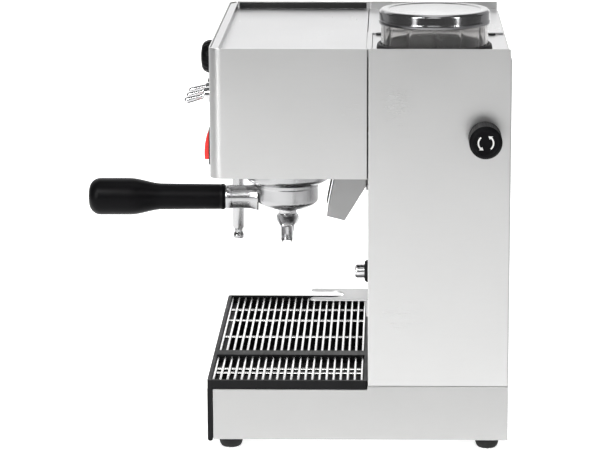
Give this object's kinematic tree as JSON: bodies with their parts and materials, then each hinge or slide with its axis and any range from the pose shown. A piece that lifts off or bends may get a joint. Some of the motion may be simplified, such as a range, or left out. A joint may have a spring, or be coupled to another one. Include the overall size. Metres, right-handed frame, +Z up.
{
  "type": "espresso machine",
  "caption": "Home espresso machine with a built-in burr grinder, toggle levers, portafilter, steam wand and slide-out drip tray.",
  "frame": {"origin": "on the table, under the middle of the whole envelope, with the portafilter handle and the adjusting knob counted", "axes": "+Z up, the front of the machine faces -Y, +X is to the right seen from the front"},
  "size_m": [0.355, 0.396, 0.393],
  "materials": {
    "panel_steel": "satin stainless sheet",
    "base_steel": "satin stainless sheet",
    "black_plastic": "fine moulded black",
    "handle_plastic": "smooth black",
    "rubber": "moulded black",
    "chrome": "polished plate",
    "group_metal": "polished plate on brass",
    "steel_parts": "stainless",
    "wire_grid": "bright drawn wire",
    "back_paint": "black powder coat",
    "brass": "machined",
    "copper": "drawn pipe",
    "smoky_plastic": "clear smoky moulding",
    "tank_plastic": "translucent moulding",
    "gauge_glass": "clear",
    "rocker_red": "lit red rocker",
    "dial_white": "white face in a chrome case",
    "needle_black": "black",
    "burr_steel": "hardened steel",
    "motor_paint": "grey enamel",
    "housing_alloy": "cast alloy",
    "screw_black": "black oxide"
  },
  "bodies": {
    "root": {"back_panel": "back_paint", "base_housing": "base_steel", "boiler_lower": "brass", "boiler_upper": "brass", "chute_flap": "black_plastic", "column_front": "panel_steel", "cup_tray": "panel_steel", "feet": "rubber", "gauge_case": "dial_white", "gauge_glass": "gauge_glass", "grind_chute": "base_steel", "grind_switch": "black_plastic", "grinder_housing": "housing_alloy", "grinder_motor": "motor_paint", "group_gasket": "rubber", "group_head": "group_metal", "head_floor": "panel_steel", "head_shell": "panel_steel", "heating_element": "copper", "hopper_collar": "black_plastic", "inner_frame": "steel_parts", "left_side_panel": "panel_steel", "lever_switches": "chrome", "mains_inlet": "black_plastic", "portafilter_fork": "steel_parts", "pump": "motor_paint", "right_side_panel": "panel_steel", "rocker_frame": "black_plastic", "screws": "screw_black", "shower_screen": "steel_parts", "solenoid_valve": "motor_paint", "steam_valve": "brass", "top_deck": "panel_steel", "wand_socket": "chrome", "water_pipes": "copper"},
    "tray": {"drip_tray": "black_plastic"},
    "left_drain_grid": {"left_grid": "wire_grid"},
    "right_drain_grid": {"right_grid": "wire_grid"},
    "portafilter": {"portafilter_body": "group_metal", "filter_basket": "steel_parts", "portafilter_handle": "handle_plastic", "portafilter_spout": "chrome"},
    "wand": {"steam_wand": "chrome", "steam_nozzle": "chrome"},
    "steam_tap": {"steam_knob": "handle_plastic"},
    "steam_toggle": {"steam_lever": "chrome"},
    "water_toggle": {"water_lever": "chrome"},
    "brew_toggle": {"brew_lever": "chrome"},
    "mains_rocker": {"power_rocker": "rocker_red"},
    "needle": {"gauge_needle": "needle_black"},
    "tank": {"water_tank": "tank_plastic"},
    "tank_cover": {"tank_lid": "panel_steel"},
    "grinder_spindle": {"grinder_rotor": "steel_parts", "inner_burr": "burr_steel"},
    "burr_ring": {"burr_carrier": "housing_alloy"},
    "adjuster": {"grind_worm": "steel_parts", "grind_knob": "handle_plastic"},
    "bean_hopper": {"hopper": "smoky_plastic"},
    "hopper_cover": {"hopper_lid": "smoky_plastic"},
    "dose_button": {"grind_button": "chrome"}
  },
  "joints": [
    {"name": "tray_slide", "type": "slide", "parent": "root", "child": "tray", "axis": [0, -1, 0], "range_m": [0, 0.2]},
    {"name": "left_grid_lift", "type": "slide", "parent": "tray", "child": "left_drain_grid", "axis": [0, 0, 1], "range_m": [0, 0.035]},
    {"name": "right_grid_lift", "type": "slide", "parent": "tray", "child": "right_drain_grid", "axis": [0, 0, 1], "range_m": [0, 0.035]},
    {"name": "portafilter_twist", "type": "hinge", "parent": "root", "child": "portafilter", "pos_m": [-0.06, -0.007, 0.207], "axis": [0, 0, 1], "range_deg": [-45, 0]},
    {"name": "wand_swing", "type": "hinge", "parent": "root", "child": "wand", "pos_m": [-0.145, -0.0594, 0.242], "axis": [0, 1, 0], "range_deg": [0, 30]},
    {"name": "steam_knob_turn", "type": "hinge", "parent": "root", "child": "steam_tap", "pos_m": [-0.135, -0.068, 0.317], "axis": [0, -1, 0], "range_deg": [0, 540]},
    {"name": "steam_lever_throw", "type": "hinge", "parent": "root", "child": "steam_toggle", "pos_m": [0.019, -0.071, 0.314], "axis": [-1, 0, 0], "range_deg": [0, 30]},
    {"name": "water_lever_throw", "type": "hinge", "parent": "root", "child": "water_toggle", "pos_m": [0.047, -0.071, 0.314], "axis": [-1, 0, 0], "range_deg": [0, 30]},
    {"name": "brew_lever_throw", "type": "hinge", "parent": "root", "child": "brew_toggle", "pos_m": [0.075, -0.071, 0.314], "axis": [-1, 0, 0], "range_deg": [0, 30]},
    {"name": "power_rocker_tilt", "type": "hinge", "parent": "root", "child": "mains_rocker", "pos_m": [0.11, -0.0655, 0.274], "axis": [1, 0, 0], "range_deg": [0, 14]},
    {"name": "gauge_needle_turn", "type": "hinge", "parent": "root", "child": "needle", "pos_m": [-0.03, -0.068, 0.308], "axis": [0, 1, 0], "range_deg": [0, 260]},
    {"name": "tank_lift", "type": "slide", "parent": "root", "child": "tank", "axis": [0, 0, 1], "range_m": [0, 0.26]},
    {"name": "tank_lid_lift", "type": "slide", "parent": "tank", "child": "tank_cover", "axis": [0, 0, 1], "range_m": [0, 0.08]},
    {"name": "grinder_spin", "type": "hinge", "parent": "root", "child": "grinder_spindle", "pos_m": [0.08, 0.131, 0.238], "axis": [0, 0, 1], "continuous": true},
    {"name": "grind_adjust", "type": "hinge", "parent": "root", "child": "adjuster", "pos_m": [0.1475, 0.1747, 0.288], "axis": [1, 0, 0], "range_deg": [-720, 720]},
    {"name": "burr_ring_turn", "type": "hinge", "parent": "root", "child": "burr_ring", "pos_m": [0.08, 0.131, 0.288], "axis": [0, 0, 1], "range_deg": [-12, 12]},
    {"name": "hopper_lift", "type": "slide", "parent": "root", "child": "bean_hopper", "axis": [0, 0, 1], "range_m": [0, 0.11]},
    {"name": "hopper_lid_lift", "type": "slide", "parent": "bean_hopper", "child": "hopper_cover", "axis": [0, 0, 1], "range_m": [0, 0.03]},
    {"name": "dose_button_press", "type": "slide", "parent": "root", "child": "dose_button", "axis": [0, 1, 0], "range_m": [0, 0.003], "stiffness_N_per_m": 500}
  ],
  "couplings": [
    {"joint": "burr_ring_turn", "follows": "grind_adjust", "ratio": 0.016667}
  ]
}
